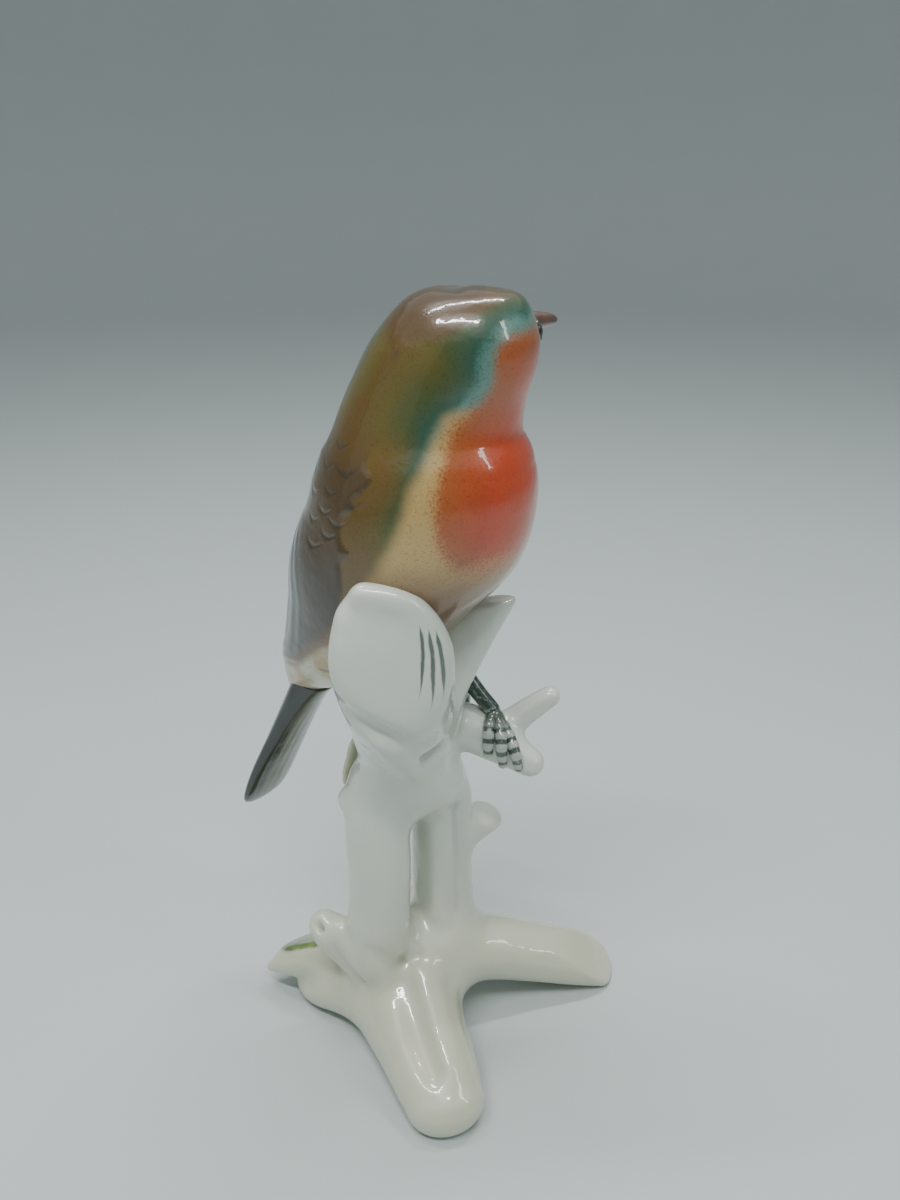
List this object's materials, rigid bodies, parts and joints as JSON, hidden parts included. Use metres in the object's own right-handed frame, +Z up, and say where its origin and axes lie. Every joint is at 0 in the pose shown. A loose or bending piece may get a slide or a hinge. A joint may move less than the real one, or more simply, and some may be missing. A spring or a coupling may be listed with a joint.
{
  "type": "bird figurine",
  "caption": "Glazed porcelain figurine of a small red-breasted bird perched upright on a white cut tree stump with spreading roots, a side branch and small leaves.",
  "frame": {"origin": "middle of the figurine's bounding box in X and Y, on the surface that its roots stand on", "axes": "+Z up along the figurine's height, +X the way the perch branch points and the bird's breast mostly faces, -Y the side of the large oblique cut stub"},
  "size_m": [0.0784, 0.0634, 0.1448],
  "materials": {
    "painted_plumage": "airbrushed underglaze plumage, brown back, orange breast, buff belly, under a clear gloss glaze",
    "painted_beak": "brown under a clear gloss glaze",
    "painted_tail": "blue-black edges and olive underside under a clear gloss glaze",
    "white_glaze": "clear gloss glaze over white porcelain",
    "warm_white_glaze": "clear gloss glaze over faintly warm white porcelain",
    "painted_leaf": "pale green airbrush fading to white under a clear gloss glaze",
    "painted_leg": "dark green brushed lines under a clear gloss glaze"
  },
  "bodies": {
    "root": {"torso": "painted_plumage", "head": "painted_plumage", "beak": "painted_beak", "tail": "painted_tail", "trunk": "white_glaze", "cut_stub": "white_glaze", "spike_stub": "white_glaze", "perch": "white_glaze", "perch_twig": "white_glaze", "root_crown": "warm_white_glaze", "root_front": "warm_white_glaze", "root_right": "warm_white_glaze", "root_left": "warm_white_glaze", "root_back": "warm_white_glaze", "front_stem": "white_glaze", "rear_stem": "white_glaze", "side_stub": "white_glaze", "stem_knob": "white_glaze", "bud_knot": "warm_white_glaze", "leaf_base": "painted_leaf", "leaf_back": "painted_leaf", "leg_right": "painted_leg", "foot_right": "painted_leg", "leg_left": "painted_leg", "foot_left": "painted_leg"}
  },
  "joints": []
}
